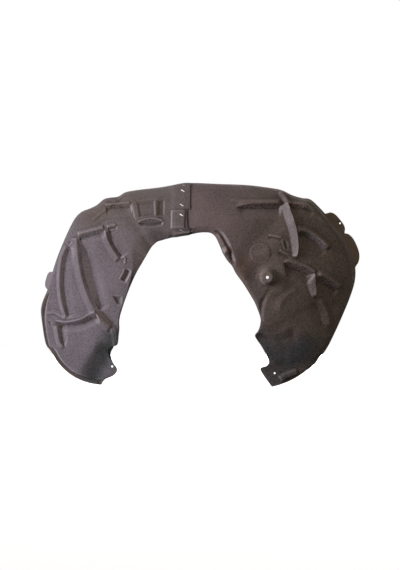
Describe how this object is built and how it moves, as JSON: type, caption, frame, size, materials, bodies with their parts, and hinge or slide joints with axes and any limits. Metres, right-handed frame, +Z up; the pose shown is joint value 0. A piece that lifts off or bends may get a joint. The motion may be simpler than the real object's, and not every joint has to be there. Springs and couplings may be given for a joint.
{
  "type": "wheel arch liner",
  "caption": "Moulded felt liner for a wheel arch: a deep barrel with a ribbed face cut out for the suspension, in front and rear sections stapled together at the crown.",
  "frame": {"origin": "centre of the fixing hole, on the outer face of its boss", "axes": "+X along the car from the front section to the rear section, +Y from the suspension side out to the wheel opening, along the fixing hole, +Z up"},
  "size_m": [0.9733, 0.2888, 0.6193],
  "materials": {
    "felt_front": "pressed needle felt, grey brown with paler fibres",
    "felt_rear": "pressed needle felt, brown",
    "staple_wire": "flat galvanised staple wire"
  },
  "bodies": {
    "root": {"front_section": "felt_front", "rear_section": "felt_rear", "seam_staples": "staple_wire"}
  },
  "joints": []
}
